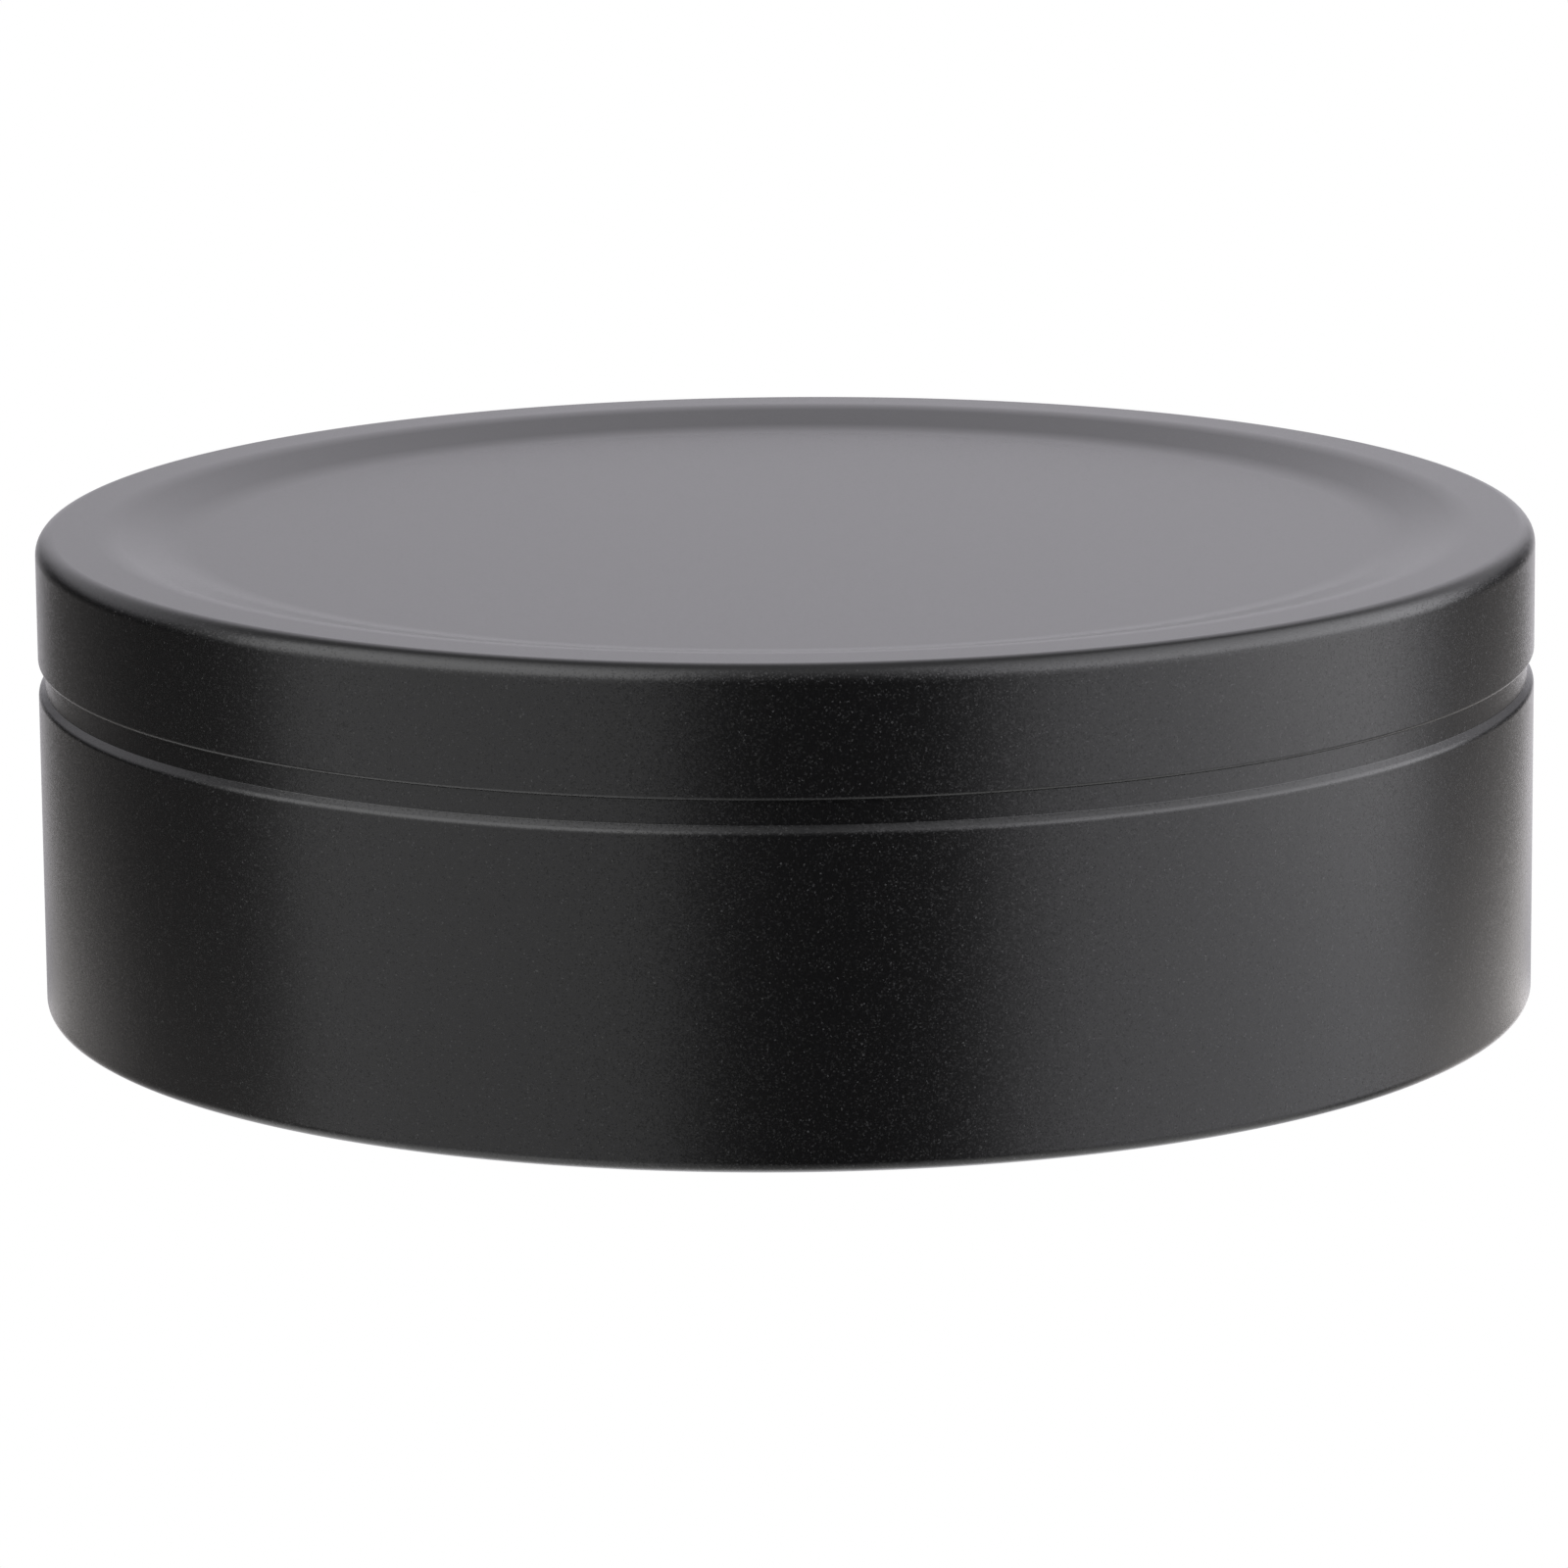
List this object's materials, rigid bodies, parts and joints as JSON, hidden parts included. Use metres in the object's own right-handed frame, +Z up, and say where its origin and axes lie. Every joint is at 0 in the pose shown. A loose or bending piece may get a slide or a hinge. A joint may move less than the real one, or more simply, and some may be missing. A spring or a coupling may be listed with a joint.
{
  "type": "candle tin",
  "caption": "Shallow round black tin with a recessed-top slip-on lid, flush with the wall, that lifts off to open it for pouring and holding wax.",
  "frame": {"origin": "middle of the flat foot ring's plane, on the tin's axis", "axes": "+Z up along the tin's axis, out through the lid; X and Y lie in the base plane and are equivalent because the tin is round"},
  "size_m": [0.1, 0.1, 0.0321],
  "materials": {
    "black_coated_body": "fine-textured matte black coating over drawn aluminium sheet",
    "black_coated_lid": "fine-textured matte black coating over drawn aluminium sheet"
  },
  "bodies": {
    "tin": {"tin_body": "black_coated_body"},
    "lid": {"lid": "black_coated_lid"}
  },
  "joints": [
    {"name": "lid_lift", "type": "slide", "parent": "tin", "child": "lid", "axis": [0, 0, 1], "range_m": [0, 0.04]}
  ]
}
